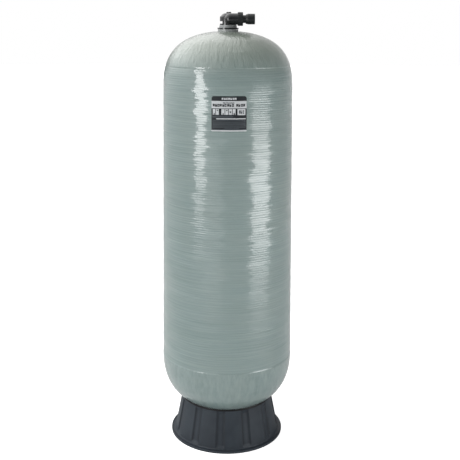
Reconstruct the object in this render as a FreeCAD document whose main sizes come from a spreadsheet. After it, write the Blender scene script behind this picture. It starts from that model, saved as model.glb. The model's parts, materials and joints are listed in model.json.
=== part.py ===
"""Fibreglass water treatment tank with a fluted foot and an in/out head.

A filament-wound pressure tank stands upright in a moulded foot.  A moulded neck in the top dome
takes a screwed head with two ports side by side.  Each port carries a tailpiece, held by a union
nut and a split ring, with a pipe coupling glued to it.  A riser tube hangs from the head down to a
slotted basket near the bottom of the tank.

A grey ring trims the foot of the head's barrel.

Frame: millimetres, +Z up, origin on the tank's axis at floor level, ports towards +X.
"""
import FreeCAD, Part
import math
import os
import re

import Sketcher

V = FreeCAD.Vector
FULL_TURN = 360

# Driving dimensions.  Every size and place of every piece is worked out from these.
DIMENSIONS = [
    # gaps and edges shared by many pieces
    ("glue_gap", 0.05),
    ("end_gap", 0.1),
    ("edge_break", 1),
    # tank: a straight middle between two domes of superelliptic outline
    ("tank_radius", 309),
    ("shell_wall", 4.5),
    ("liner_wall", 4),
    ("dome_height", 267),
    ("dome_power", 2.62),
    ("lower_tangent", 407),
    ("upper_tangent", 1668.5),
    # neck insert
    ("neck_bore_radius", 36.6),
    ("neck_body_radius", 44),
    ("neck_collar_radius", 48.7),
    ("neck_collar_bottom", 1935.8),
    ("neck_top", 1948),
    ("neck_flange_radius", 58),
    ("neck_flange_top", 1924.5),
    ("neck_flange_bottom", 1918.5),
    ("seal_seat_radius", 41.5),
    ("seal_seat_depth", 4.2),
    # foot
    ("foot_radius", 267.6),
    ("foot_thickness", 8),
    ("foot_lip_height", 10),
    ("foot_lip_width", 3),
    ("foot_waist_radius", 249),
    ("foot_rim_radius", 214.6),
    ("foot_rim_height", 184),
    ("foot_wall", 6),
    ("seat_inner_radius", 196),
    ("seat_slope", 30),
    ("seat_thickness", 6),
    ("seat_below_rim", 0.6),
    ("flute_depth", 3),
    ("flute_count", 12),
    ("flute_angle", 9),
    ("flute_bottom", 18),
    ("flute_top", 173),
    ("flute_clocking", 23),
    # label
    ("label_thickness", 0.5),
    ("label_bottom", 1496.5),
    ("label_top", 1653),
    ("label_angle", 29.1),
    ("label_turn", 1.1),
    ("label_corner", 10),
    # head
    ("spigot_radius", 36.52),
    ("spigot_bottom", 1924),
    ("head_flange_radius", 50.5),
    ("head_flange_bottom", 1948.5),
    ("head_flange_top", 1955),
    ("trim_bottom_radius", 42.5),
    ("trim_top_radius", 40.6),
    ("trim_seat_radius", 38.2),
    ("trim_top", 1967.8),
    ("barrel_radius", 39),
    ("barrel_top", 2024.5),
    ("barrel_side_top", 2008),
    ("crown_radius", 24),
    ("crown_height", 2022),
    ("roof_radius", 15.5),
    ("shoulder_rounding", 12),
    ("crown_rounding", 20),
    ("annulus_outer_radius", 23),
    ("annulus_inner_radius", 18.5),
    ("annulus_top", 2009),
    ("port_height", 1996.5),
    ("port_spacing", 76),
    ("port_radius", 27),
    ("port_back", 10),
    ("port_face", 61),
    ("socket_radius", 18.6),
    ("socket_bottom", 36),
    ("waterway_radius", 11.5),
    ("outlet_way_radius", 8.5),
    ("inlet_way_radius", 10.5),
    ("annulus_wall_left", 2),
    ("lug_slot_bottom", 1974.5),
    ("lug_slot_top", 1986),
    ("lug_slot_depth", 12),
    # riser, its hub and the two slotted baskets
    ("riser_outer_radius", 13.35),
    ("riser_inner_radius", 10.4),
    ("riser_bottom", 265),
    ("riser_top", 1981),
    ("riser_fit", 0.1),
    ("riser_end_gap", 0.5),
    ("hub_radius", 19),
    ("hub_bottom", 239),
    ("hub_top", 293),
    ("basket_radius", 28),
    ("basket_wall", 3),
    ("basket_bottom", 153),
    ("basket_top", 239),
    ("basket_neck_radius", 12),
    ("basket_neck_length", 16),
    ("diffuser_radius", 32),
    ("diffuser_bottom", 1861),
    ("diffuser_top", 1923.8),
    ("diffuser_collar", 8),
    ("diffuser_collar_wall", 2.1),
    ("slot_width", 1.2),
    ("slot_count", 24),
    ("slot_margin", 9),
    # seals: ring radius to the middle of the section, and section radius
    ("tank_seal_ring", 39),
    ("tank_seal_section", 1.9),
    ("riser_seal_ring", 14.96),
    ("riser_seal_section", 1.6),
    ("riser_seal_height", 1939),
    ("port_seal_ring", 16.95),
    ("port_seal_section", 1.55),
    ("port_seal_place", 42),
    ("seal_groove_width", 4),
    ("seal_clearance", 0.02),
    # tailpiece, union nut, split ring, coupling
    ("tail_radius", 18.5),
    ("tail_start", 37),
    ("tail_end", 98.4),
    ("tail_groove_radius", 16.5),
    ("ring_start", 61.2),
    ("ring_width", 3.9),
    ("ring_radius", 25.8),
    ("ring_gap_angle", 6),
    ("nut_radius", 32.5),
    ("nut_start", 45.5),
    ("nut_end", 70.2),
    ("nut_wall", 5),
    ("nut_thread_radius", 27.07),
    ("nut_hole_radius", 18.58),
    ("nut_grip_count", 18),
    ("nut_grip_depth", 1.6),
    ("nut_grip_radius", 2.4),
    ("coupling_radius", 25),
    ("coupling_nose_radius", 21.6),
    ("coupling_start", 84),
    ("coupling_shoulder_end", 94.5),
    ("coupling_end", 126.4),
    ("coupling_way_radius", 14.5),
    ("pipe_socket_radius", 21.1),
    ("pipe_socket_depth", 25),
    # vent plug on the head's top
    ("plug_place", 3),
    ("plug_shank_radius", 6),
    ("plug_fit", 0.06),
    ("plug_head_radius", 11.5),
    ("plug_head_height", 5.5),
    ("plug_shank_length", 13),
    ("plug_slot_width", 2.4),
    ("plug_slot_depth", 2.2),
    ("plug_seal_ring", 7.6),
    ("plug_seal_section", 0.9),
    ("plug_seal_seat", 1.5),
    ("plug_seat_radius", 9),
    ("plug_seat_gap", 0.35),
]

doc = FreeCAD.newDocument("water_tank")


def make_sheet():
    """Put the driving dimensions in a spreadsheet, one alias a row."""
    table = doc.addObject("Spreadsheet::Sheet", "Sizes")
    for row, (alias, value) in enumerate(DIMENSIONS, start=1):
        table.set(f"A{row}", alias)
        table.set(f"B{row}", str(value))
        table.setAlias(f"B{row}", alias)
    doc.recompute()
    return table


sheet = make_sheet()


def size(alias):
    """Read one driving dimension, for pieces whose shape is set in code."""
    return sheet.get(alias)


def bound(text):
    """Point every dimension named in a formula at its spreadsheet cell."""
    return re.sub(r"\b(?!tan\b|sqrt\b)([a-z]\w*)", r"Sizes.\1", text)


# ---------------------------------------------------------------- building helpers


def new_body(name):
    body = doc.addObject("PartDesign::Body", name)
    body.Label = name
    return body


def new_sketch(body, name, plane="XZ_Plane", offset=None):
    """Add a sketch on one of the body's own origin planes, moved along its normal by a formula."""
    sketch = body.newObject("Sketcher::SketchObject", f"{body.Name}_{name}")
    for feature in body.Origin.OriginFeatures:
        if feature.Role == plane:
            sketch.AttachmentSupport = (feature, "")
    sketch.MapMode = "FlatFace"
    if offset:
        sketch.setExpression(".AttachmentOffset.Base.z", bound(offset))
    return sketch


def pin_point(sketch, line, end, across, up):
    """Hold one end of a line at the place that two formulas give."""
    for kind, axis, formula in (("DistanceX", -2, across), ("DistanceY", -1, up)):
        if formula == "0":
            sketch.addConstraint(Sketcher.Constraint("PointOnObject", line, end, axis))
            continue
        index = sketch.addConstraint(Sketcher.Constraint(kind, -1, 1, line, end, 1.0))
        sketch.setExpression(f"Constraints[{index}]", bound(formula))


def add_outline(sketch, corners):
    """Draw a closed outline whose corners are pairs of formulas (across, up)."""
    count = len(corners)
    rough = []
    for i in range(count):
        turn = 2 * math.pi * i / count
        rough.append(V(10 * math.cos(turn), 10 * math.sin(turn), 0))
    first = sketch.GeometryCount
    for i in range(count):
        sketch.addGeometry(Part.LineSegment(rough[i], rough[(i + 1) % count]), False)
    for i in range(count):
        line = first + i
        following = first + (i + 1) % count
        sketch.addConstraint(Sketcher.Constraint("Coincident", line, 2, following, 1))
    for i, (across, up) in enumerate(corners):
        pin_point(sketch, first + i, 1, across, up)


def add_circle(sketch, across, up, radius):
    """Draw a circle whose centre and radius are formulas."""
    circle = sketch.addGeometry(Part.Circle(V(1, 1, 0), V(0, 0, 1), 5), False)
    pin_point(sketch, circle, 3, across, up)
    index = sketch.addConstraint(Sketcher.Constraint("Radius", circle, 5.0))
    sketch.setExpression(f"Constraints[{index}]", bound(radius))


def turn_sketch(body, kind, sketch, name, angle=None):
    """Revolve a sketch about its vertical axis, as added or removed material."""
    feature = body.newObject(f"PartDesign::{kind}", f"{body.Name}_{name}")
    feature.Profile = sketch
    feature.ReferenceAxis = (sketch, ["V_Axis"])
    feature.Angle = FULL_TURN
    if angle:
        feature.Midplane = True
        feature.setExpression("Angle", bound(angle))
    sketch.Visibility = False
    return feature


def revolve(body, name, corners, angle=None, plane="XZ_Plane"):
    """Turn an upright outline about the body's Z axis into material."""
    sketch = new_sketch(body, f"{name}_outline", plane)
    add_outline(sketch, corners)
    return turn_sketch(body, "Revolution", sketch, name, angle)


def groove(body, name, corners, angle=None):
    """Turn an upright outline about the body's Z axis and take it away."""
    sketch = new_sketch(body, f"{name}_outline")
    add_outline(sketch, corners)
    return turn_sketch(body, "Groove", sketch, name, angle)


def extrude(body, kind, sketch, name, length, reverse=False, midplane=False):
    feature = body.newObject(f"PartDesign::{kind}", f"{body.Name}_{name}")
    feature.Profile = sketch
    feature.Reversed = reverse
    feature.Midplane = midplane
    feature.setExpression("Length", bound(length))
    sketch.Visibility = False
    return feature


def repeat_around(body, feature, name, count):
    """Repeat a feature evenly about the body's Z axis."""
    pattern = body.newObject("PartDesign::PolarPattern", f"{body.Name}_{name}")
    pattern.Originals = [feature]
    for origin_feature in body.Origin.OriginFeatures:
        if origin_feature.Role == "Z_Axis":
            pattern.Axis = (origin_feature, [""])
    pattern.Angle = FULL_TURN
    pattern.setExpression("Occurrences", bound(count))
    body.Tip = pattern
    return pattern


def round_edges(body, name, radius, wanted):
    """Fillet the edges of the body's current shape that a test accepts."""
    doc.recompute()
    base = body.Tip
    names = [f"Edge{i}" for i, edge in enumerate(base.Shape.Edges, start=1) if wanted(edge)]
    if not names:
        raise RuntimeError(f"{body.Name}: no edge found for {name}")
    fillet = body.newObject("PartDesign::Fillet", f"{body.Name}_{name}")
    fillet.Base = (base, names)
    fillet.setExpression("Radius", bound(radius))
    return fillet


def is_ring(edge, radius, height):
    """True for a full circle about the Z axis with this radius and height."""
    if not isinstance(edge.Curve, Part.Circle) or len(edge.Vertexes) != 1:
        return False
    centre = edge.Curve.Center
    on_axis = math.hypot(centre.x, centre.y) < 1e-6
    return on_axis and abs(edge.Curve.Radius - radius) < 0.01 and abs(centre.z - height) < 0.01


def turn_about_axis(body, angle):
    """Turn a whole body about the Z axis by a bound angle in degrees."""
    body.Placement = FreeCAD.Placement(V(0, 0, 0), FreeCAD.Rotation(V(0, 0, 1), 1))
    body.setExpression(".Placement.Rotation.Angle", bound(angle))


def place_on_port(piece, side):
    """Lay a piece that was built upright along a port: its Z axis becomes the port's axis."""
    lying = FreeCAD.Rotation(V(0, 1, 0), 90)
    piece.Placement = FreeCAD.Placement(V(0, 0, 0), lying)
    piece.setExpression(".Placement.Base.y", bound(f"{side} * port_spacing / 2"))
    piece.setExpression(".Placement.Base.z", bound("port_height"))


# ---------------------------------------------------------------- tank


def dome_point(angle, radius, height, power, tangent, direction):
    """A point on a superelliptic dome, angle 0 at its tangent line and 90 degrees at its apex."""
    across = radius * math.cos(angle) ** (2 / power)
    rise = height * math.sin(angle) ** (2 / power)
    return V(across, 0, tangent + direction * rise)


def dome_curve(inset, opening, tangent, direction):
    """Dome outline, moved inwards by inset, from the tangent line to the opening's radius."""
    radius = size("tank_radius") - inset
    height = size("dome_height") - inset
    power = size("dome_power")
    last = math.acos((opening / radius) ** (power / 2)) if opening else math.pi / 2
    steps = 24
    points = []
    for step in range(steps + 1):
        # equal steps of a sine place more points where the outline bends hardest
        share = 0.5 - 0.5 * math.cos(math.pi * step / steps)
        points.append(dome_point(last * share, radius, height, power, tangent, direction))
    curve = Part.BSplineCurve()
    curve.interpolate(Points=points)
    return curve.toShape(), points[-1]


def tank_outline(inset, opening):
    """Edges from the closed bottom apex to the rim of the top opening."""
    lower_tangent = size("lower_tangent")
    upper_tangent = size("upper_tangent")
    radius = size("tank_radius") - inset
    lower, apex = dome_curve(inset, 0, lower_tangent, -1)
    upper, rim = dome_curve(inset, opening, upper_tangent, 1)
    side = Part.makeLine(V(radius, 0, lower_tangent), V(radius, 0, upper_tangent))
    return [lower, side, upper], apex, rim


def hollow_vessel(label, outer_inset, inner_inset):
    """A tank wall between two insets, closed at the bottom and open at the neck."""
    opening = size("neck_body_radius")
    outer_edges, outer_apex, outer_rim = tank_outline(outer_inset, opening)
    inner_edges, inner_apex, inner_rim = tank_outline(inner_inset, opening)
    edges = outer_edges + inner_edges
    edges.append(Part.makeLine(outer_apex, inner_apex))
    edges.append(Part.makeLine(outer_rim, inner_rim))
    wire = Part.Wire(Part.__sortEdges__(edges))
    wall = Part.Face(wire).revolve(V(0, 0, 0), V(0, 0, 1), FULL_TURN)
    vessel = doc.addObject("Part::Feature", label)
    vessel.Label = label
    vessel.Shape = wall
    vessel.Placement = FreeCAD.Placement()
    return vessel


def make_tank_shell():
    return hollow_vessel("tank_shell", 0, size("shell_wall"))


def make_tank_liner():
    shell_wall = size("shell_wall")
    return hollow_vessel("tank_liner", shell_wall, shell_wall + size("liner_wall"))


def make_neck_insert():
    """Threaded collar: a flange under the liner, a body through the domes and a collar on top."""
    body = new_body("neck_insert")
    revolve(body, "collar", [
        ("neck_bore_radius", "neck_flange_bottom"),
        ("neck_flange_radius", "neck_flange_bottom"),
        ("neck_flange_radius", "neck_flange_top - edge_break"),
        ("neck_body_radius - glue_gap", "neck_flange_top"),
        ("neck_body_radius - glue_gap", "neck_collar_bottom"),
        ("neck_collar_radius", "neck_collar_bottom"),
        ("neck_collar_radius", "neck_top"),
        ("seal_seat_radius", "neck_top"),
        ("seal_seat_radius", "neck_top - seal_seat_depth"),
        ("neck_bore_radius", "neck_top - seal_seat_depth"),
    ])
    return body


def make_tank_base():
    """Hollow conical foot with a sloping seat for the dome, a flat flange and recessed flutes."""
    body = new_body("tank_base")
    slope = "(foot_waist_radius - foot_rim_radius) / (foot_rim_height - foot_thickness)"
    seat_fall = "(foot_rim_radius - edge_break - seat_inner_radius) * tan(seat_slope)"
    seat_low = f"foot_rim_height - seat_below_rim - {seat_fall}"
    under_seat = f"{seat_low} - seat_thickness"
    wall_under_seat = f"foot_rim_radius + (foot_rim_height - ({under_seat})) * {slope} - foot_wall"
    revolve(body, "cone", [
        ("foot_waist_radius - foot_wall", "0"),
        ("foot_radius", "0"),
        ("foot_radius", "foot_lip_height"),
        ("foot_radius - foot_lip_width", "foot_lip_height"),
        ("foot_radius - foot_lip_width - edge_break", "foot_thickness"),
        ("foot_waist_radius", "foot_thickness"),
        ("foot_rim_radius", "foot_rim_height"),
        ("foot_rim_radius - edge_break", "foot_rim_height"),
        ("foot_rim_radius - edge_break", "foot_rim_height - seat_below_rim"),
        ("seat_inner_radius", seat_low),
        ("seat_inner_radius", under_seat),
        (wall_under_seat, under_seat),
    ])
    low = f"foot_rim_radius + (foot_rim_height - flute_bottom) * {slope}"
    high = f"foot_rim_radius + (foot_rim_height - flute_top) * {slope}"
    flute = groove(body, "flute", [
        (f"{low} - flute_depth", "flute_bottom"),
        (f"{low} + flute_depth", "flute_bottom"),
        (f"{high} + flute_depth", "flute_top"),
        (f"{high} - flute_depth", "flute_top"),
    ], angle="flute_angle")
    repeat_around(body, flute, "flutes", "flute_count")
    turn_about_axis(body, "flute_clocking")
    return body


def make_front_label():
    """Thin sheet wrapped on the front of the shell, with rounded top corners."""
    body = new_body("front_label")
    back = "0 - tank_radius - glue_gap"
    face = "0 - tank_radius - label_thickness"
    revolve(body, "sheet", [
        (back, "label_bottom"),
        (face, "label_bottom"),
        (face, "label_top"),
        (back, "label_top"),
    ], angle="label_angle", plane="YZ_Plane")
    top = size("label_top")

    def is_top_corner(edge):
        across = abs(edge.Length + size("glue_gap") - size("label_thickness")) < 0.01
        return across and abs(edge.CenterOfMass.z - top) < 0.01

    round_edges(body, "corners", "label_corner", is_top_corner)
    turn_about_axis(body, "label_turn")
    return body


# ---------------------------------------------------------------- head


def add_port(body, side, name):
    """A tube along +X beside the barrel, closed at the back by a ball of the same radius."""
    across = f"{side} * port_spacing / 2"
    tube = new_sketch(body, f"{name}_tube_circle", "YZ_Plane", "port_back")
    add_circle(tube, across, "port_height", "port_radius")
    extrude(body, "Pad", tube, f"{name}_tube", "port_face - port_back")
    ball = body.newObject("PartDesign::AdditiveSphere", f"{body.Name}_{name}_ball")
    ball.setExpression("Radius", bound("port_radius"))
    ball.setExpression(".Placement.Base.x", bound("port_back"))
    ball.setExpression(".Placement.Base.y", bound(across))
    ball.setExpression(".Placement.Base.z", bound("port_height"))


def bore_port(body, side, name):
    """The tailpiece's socket and the narrower waterway behind it."""
    across = f"{side} * port_spacing / 2"
    socket = new_sketch(body, f"{name}_socket_circle", "YZ_Plane", "socket_bottom")
    add_circle(socket, across, "port_height", "socket_radius")
    extrude(body, "Pocket", socket, f"{name}_socket", "port_face - socket_bottom + edge_break",
            reverse=True)
    way = new_sketch(body, f"{name}_way_circle", "YZ_Plane", "0 - waterway_radius / 2")
    add_circle(way, across, "port_height", "waterway_radius")
    extrude(body, "Pocket", way, f"{name}_way", "socket_bottom + waterway_radius / 2", reverse=True)


def drill_plug_hole(body):
    """Vent hole through the head's roof, with a shallow seat for the plug's seal."""
    seat = new_sketch(body, "plug_seat_circle", "XY_Plane", "barrel_top - plug_seal_seat")
    add_circle(seat, "plug_place", "0", "plug_seat_radius")
    extrude(body, "Pocket", seat, "plug_seat", "plug_seal_seat + edge_break", reverse=True)
    hole = new_sketch(body, "plug_hole_circle", "XY_Plane", "annulus_top - edge_break")
    add_circle(hole, "plug_place", "0", "plug_shank_radius + plug_fit")
    extrude(body, "Pocket", hole, "plug_hole", "barrel_top - annulus_top + 2 * edge_break",
            reverse=True)


def cut_lug_slot(body):
    """Slot for the wrench, straight across the barrel on the side away from the ports."""
    lug = new_sketch(body, "lug_slot_outline", "XZ_Plane")
    add_outline(lug, [
        ("0 - barrel_radius - edge_break", "lug_slot_bottom"),
        ("lug_slot_depth - barrel_radius", "lug_slot_bottom"),
        ("lug_slot_depth - barrel_radius", "lug_slot_top"),
        ("0 - barrel_radius - edge_break", "lug_slot_top"),
    ])
    extrude(body, "Pocket", lug, "lug_slot", "3 * barrel_radius", midplane=True)


def cut_annulus(body):
    """Ring-shaped waterway round the riser, bridged where the outlet's way crosses it."""
    groove(body, "annulus", [
        ("annulus_inner_radius", "spigot_bottom - edge_break"),
        ("annulus_outer_radius", "spigot_bottom - edge_break"),
        ("annulus_outer_radius", "annulus_top"),
        ("annulus_inner_radius", "annulus_top"),
    ])
    bridge = new_sketch(body, "bridge_circle", "XZ_Plane", "0 - annulus_outer_radius - edge_break")
    add_circle(bridge, "0", "port_height", "waterway_radius - edge_break / 2")
    extrude(body, "Pad", bridge, "bridge",
            "annulus_outer_radius - annulus_inner_radius + 2 * edge_break")


def cut_riser_socket(body):
    """Socket for the riser with a groove for its seal, and a way on up to the outlet."""
    groove(body, "riser_socket", [
        ("0", "spigot_bottom - edge_break"),
        ("riser_outer_radius + riser_fit", "spigot_bottom - edge_break"),
        ("riser_outer_radius + riser_fit", "riser_top + riser_end_gap"),
        ("riser_inner_radius", "riser_top + riser_end_gap"),
        ("riser_inner_radius", "annulus_top"),
        ("0", "annulus_top"),
    ])
    seal_half = "seal_groove_width / 2"
    seal_floor = "riser_seal_ring + riser_seal_section + glue_gap"
    groove(body, "riser_seal", [
        ("riser_outer_radius", f"riser_seal_height - {seal_half}"),
        (seal_floor, f"riser_seal_height - {seal_half}"),
        (seal_floor, f"riser_seal_height + {seal_half}"),
        ("riser_outer_radius", f"riser_seal_height + {seal_half}"),
    ])


def cut_cross_ways(body):
    """Ways along Y: from the riser to the outlet's port and from the annulus to the inlet's."""
    outlet_way = new_sketch(body, "outlet_way_circle", "XZ_Plane")
    add_circle(outlet_way, "0", "port_height", "outlet_way_radius")
    extrude(body, "Pocket", outlet_way, "outlet_way", "port_spacing / 2")
    inlet_start = "annulus_inner_radius + annulus_wall_left"
    inlet_way = new_sketch(body, "inlet_way_circle", "XZ_Plane", inlet_start)
    add_circle(inlet_way, "0", "port_height", "inlet_way_radius")
    extrude(body, "Pocket", inlet_way, "inlet_way", f"port_spacing / 2 - ({inlet_start})",
            reverse=True)


def make_head_body():
    """Screwed head: spigot, flange, round-topped barrel and two ports with separate waterways."""
    body = new_body("head_body")
    revolve(body, "barrel", [
        ("0", "spigot_bottom"),
        ("spigot_radius", "spigot_bottom"),
        ("spigot_radius", "head_flange_bottom"),
        ("head_flange_radius", "head_flange_bottom"),
        ("head_flange_radius", "head_flange_top"),
        ("trim_seat_radius", "head_flange_top"),
        ("trim_seat_radius", "trim_top"),
        ("barrel_radius", "trim_top"),
        ("barrel_radius", "barrel_side_top"),
        ("crown_radius", "crown_height"),
        ("roof_radius", "barrel_top"),
        ("0", "barrel_top"),
    ])
    for name, rounding, radius, height in (
            ("shoulder", "shoulder_rounding", size("barrel_radius"), size("barrel_side_top")),
            ("crown", "crown_rounding", size("crown_radius"), size("crown_height"))):
        round_edges(body, name, rounding, lambda edge: is_ring(edge, radius, height))
    add_port(body, "-1", "inlet")
    add_port(body, "1", "outlet")
    cut_lug_slot(body)
    cut_annulus(body)
    cut_riser_socket(body)
    cut_cross_ways(body)
    bore_port(body, "-1", "inlet")
    bore_port(body, "1", "outlet")
    drill_plug_hole(body)
    return body


def make_head_trim():
    """Grey ring pressed on the barrel just above the head's flange, a little wider at its foot."""
    body = new_body("head_trim")
    revolve(body, "ring", [
        ("trim_seat_radius + glue_gap", "head_flange_top + glue_gap"),
        ("trim_bottom_radius", "head_flange_top + glue_gap"),
        ("trim_top_radius", "trim_top - glue_gap"),
        ("trim_seat_radius + glue_gap", "trim_top - glue_gap"),
    ])
    return body


def make_top_diffuser():
    """Slotted basket under the head, with a collar that plugs into the annular waterway."""
    body = new_body("top_diffuser")
    hole = "riser_outer_radius + riser_fit"
    revolve(body, "basket", [
        (hole, "diffuser_bottom"),
        ("diffuser_radius", "diffuser_bottom"),
        ("diffuser_radius", "diffuser_top"),
        ("annulus_outer_radius - end_gap", "diffuser_top"),
        ("annulus_outer_radius - end_gap", "diffuser_top + diffuser_collar"),
        ("annulus_outer_radius - diffuser_collar_wall", "diffuser_top + diffuser_collar"),
        ("annulus_outer_radius - diffuser_collar_wall", "diffuser_top - basket_wall"),
        ("diffuser_radius - basket_wall", "diffuser_top - basket_wall"),
        ("diffuser_radius - basket_wall", "diffuser_bottom + basket_wall"),
        (hole, "diffuser_bottom + basket_wall"),
    ])
    cut_slots(body, "diffuser_radius", "diffuser_bottom", "diffuser_top")
    return body


def make_tank_o_ring():
    return make_o_ring("tank_o_ring", "tank_seal_ring", "tank_seal_section",
                       "neck_top - seal_seat_depth + tank_seal_section + end_gap")


def make_riser_o_ring():
    return make_o_ring("riser_o_ring", "riser_seal_ring", "riser_seal_section",
                       "riser_seal_height")


def make_vent_plug():
    """Slotted round-headed plug with a plain shank for the thread."""
    body = new_body("vent_plug")
    revolve(body, "plug", [
        ("0", "plug_seat_gap - plug_shank_length"),
        ("plug_shank_radius - edge_break", "plug_seat_gap - plug_shank_length"),
        ("plug_shank_radius", "plug_seat_gap - plug_shank_length + edge_break"),
        ("plug_shank_radius", "plug_seat_gap"),
        ("plug_head_radius", "plug_seat_gap"),
        ("plug_head_radius", "plug_seat_gap + plug_head_height - 1.5 * edge_break"),
        ("plug_head_radius - 2 * edge_break", "plug_seat_gap + plug_head_height"),
        ("0", "plug_seat_gap + plug_head_height"),
    ])
    slot = new_sketch(body, "slot_outline", "XZ_Plane")
    slot_floor = "plug_seat_gap + plug_head_height - plug_slot_depth"
    add_outline(slot, [
        ("0 - plug_slot_width / 2", slot_floor),
        ("plug_slot_width / 2", slot_floor),
        ("plug_slot_width / 2", "plug_seat_gap + plug_head_height + edge_break"),
        ("0 - plug_slot_width / 2", "plug_seat_gap + plug_head_height + edge_break"),
    ])
    extrude(body, "Pocket", slot, "slot", "3 * plug_head_radius", midplane=True)
    body.setExpression(".Placement.Base.x", bound("plug_place"))
    body.setExpression(".Placement.Base.z", bound("barrel_top"))
    return body


def make_vent_plug_o_ring():
    ring = make_o_ring("vent_plug_o_ring", "plug_seal_ring", "plug_seal_section",
                       "barrel_top - plug_seal_seat + plug_seal_section + seal_clearance")
    ring.setExpression(".Placement.Base.x", bound("plug_place"))
    return ring


# ---------------------------------------------------------------- parts shared by several pieces


def make_o_ring(label, ring, section, height):
    """A torus about the Z axis, or about a port's axis once it is laid along the port."""
    torus = doc.addObject("Part::Torus", label)
    torus.Label = label
    torus.setExpression("Radius1", bound(ring))
    torus.setExpression("Radius2", bound(section))
    torus.setExpression(".Placement.Base.z", bound(height))
    return torus


def cut_slots(body, radius, bottom, top):
    """Fine upright slots all round a basket's wall."""
    slot = new_sketch(body, "slot_outline", "XZ_Plane")
    add_outline(slot, [
        ("0 - slot_width / 2", f"{bottom} + slot_margin"),
        ("slot_width / 2", f"{bottom} + slot_margin"),
        ("slot_width / 2", f"{top} - slot_margin"),
        ("0 - slot_width / 2", f"{top} - slot_margin"),
    ])
    cut = extrude(body, "Pocket", slot, "slot", f"{radius} + edge_break", reverse=True)
    repeat_around(body, cut, "slots", "slot_count")


# ---------------------------------------------------------------- riser and bottom basket


def make_riser_tube():
    """Plain pipe from the head's socket to the hub."""
    outside = doc.addObject("Part::Cylinder", "riser_outside")
    outside.setExpression("Radius", bound("riser_outer_radius"))
    inside = doc.addObject("Part::Cylinder", "riser_inside")
    inside.setExpression("Radius", bound("riser_inner_radius"))
    for cylinder in (outside, inside):
        cylinder.setExpression("Height", bound("riser_top - riser_bottom"))
        cylinder.setExpression(".Placement.Base.z", bound("riser_bottom"))
    tube = doc.addObject("Part::Cut", "riser_tube")
    tube.Label = "riser_tube"
    tube.Base = outside
    tube.Tool = inside
    return tube


def make_distributor_hub():
    """Socket piece that joins the riser's lower end to the basket's neck."""
    body = new_body("distributor_hub")
    revolve(body, "hub", [
        ("basket_neck_radius + glue_gap", "hub_bottom + end_gap"),
        ("hub_radius", "hub_bottom + end_gap"),
        ("hub_radius", "hub_top"),
        ("riser_outer_radius + glue_gap", "hub_top"),
        ("riser_outer_radius + glue_gap", "riser_bottom - end_gap"),
        ("riser_inner_radius", "riser_bottom - end_gap"),
        ("riser_inner_radius", "basket_top + basket_neck_length + end_gap"),
        ("basket_neck_radius + glue_gap", "basket_top + basket_neck_length + end_gap"),
    ])
    return body


def make_bottom_distributor():
    """Slotted basket with a closed floor and a short neck."""
    body = new_body("bottom_distributor")
    revolve(body, "basket", [
        ("0", "basket_bottom"),
        ("basket_radius - basket_wall", "basket_bottom"),
        ("basket_radius", "basket_bottom + basket_wall"),
        ("basket_radius", "basket_top"),
        ("basket_neck_radius", "basket_top"),
        ("basket_neck_radius", "basket_top + basket_neck_length"),
        ("basket_neck_radius - basket_wall", "basket_top + basket_neck_length"),
        ("basket_neck_radius - basket_wall", "basket_top - basket_wall"),
        ("basket_radius - basket_wall", "basket_top - basket_wall"),
        ("basket_radius - basket_wall", "basket_bottom + basket_wall + edge_break"),
        ("0", "basket_bottom + basket_wall + edge_break"),
    ])
    cut_slots(body, "basket_radius", "basket_bottom", "basket_top")
    return body


# ---------------------------------------------------------------- connections, one set per port


def make_tailpiece(side, port):
    """Spigot with grooves for its seal and its split ring, and a plain end for the coupling."""
    body = new_body(f"{port}_tailpiece")
    seal_floor = "port_seal_ring - port_seal_section - seal_clearance"
    revolve(body, "tube", [
        ("waterway_radius", "tail_start"),
        ("tail_radius - edge_break", "tail_start"),
        ("tail_radius", "tail_start + edge_break"),
        ("tail_radius", "port_seal_place - seal_groove_width / 2"),
        (seal_floor, "port_seal_place - seal_groove_width / 2"),
        (seal_floor, "port_seal_place + seal_groove_width / 2"),
        ("tail_radius", "port_seal_place + seal_groove_width / 2"),
        ("tail_radius", "ring_start - end_gap"),
        ("tail_groove_radius", "ring_start - end_gap"),
        ("tail_groove_radius", "ring_start + ring_width + end_gap"),
        ("tail_radius", "ring_start + ring_width + end_gap"),
        ("tail_radius", "tail_end"),
        ("waterway_radius", "tail_end"),
    ])
    place_on_port(body, side)
    return body


def make_union_nut(side, port):
    """Nut with a plain bore for its thread, an end wall and a ring of grip flutes."""
    body = new_body(f"{port}_union_nut")
    revolve(body, "nut", [
        ("nut_thread_radius", "nut_start"),
        ("nut_radius - edge_break", "nut_start"),
        ("nut_radius", "nut_start + edge_break"),
        ("nut_radius", "nut_end - 2 * edge_break"),
        ("nut_radius - 2 * edge_break", "nut_end"),
        ("nut_hole_radius", "nut_end"),
        ("nut_hole_radius", "nut_end - nut_wall"),
        ("nut_thread_radius", "nut_end - nut_wall"),
    ])
    grip = new_sketch(body, "grip_circle", "XY_Plane", "nut_start - edge_break")
    add_circle(grip, "nut_radius + nut_grip_radius - nut_grip_depth", "0", "nut_grip_radius")
    cut = extrude(body, "Pocket", grip, "grip", "nut_end - nut_start + 2 * edge_break", reverse=True)
    repeat_around(body, cut, "grips", "nut_grip_count")
    place_on_port(body, side)
    return body


def make_split_ring(side, port):
    """Ring with a gap, seated in the tailpiece's groove."""
    body = new_body(f"{port}_split_ring")
    revolve(body, "ring", [
        ("tail_groove_radius + end_gap", "ring_start"),
        ("ring_radius", "ring_start"),
        ("ring_radius", "ring_start + ring_width"),
        ("tail_groove_radius + end_gap", "ring_start + ring_width"),
    ], angle="360 - ring_gap_angle")
    place_on_port(body, side)
    return body


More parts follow.
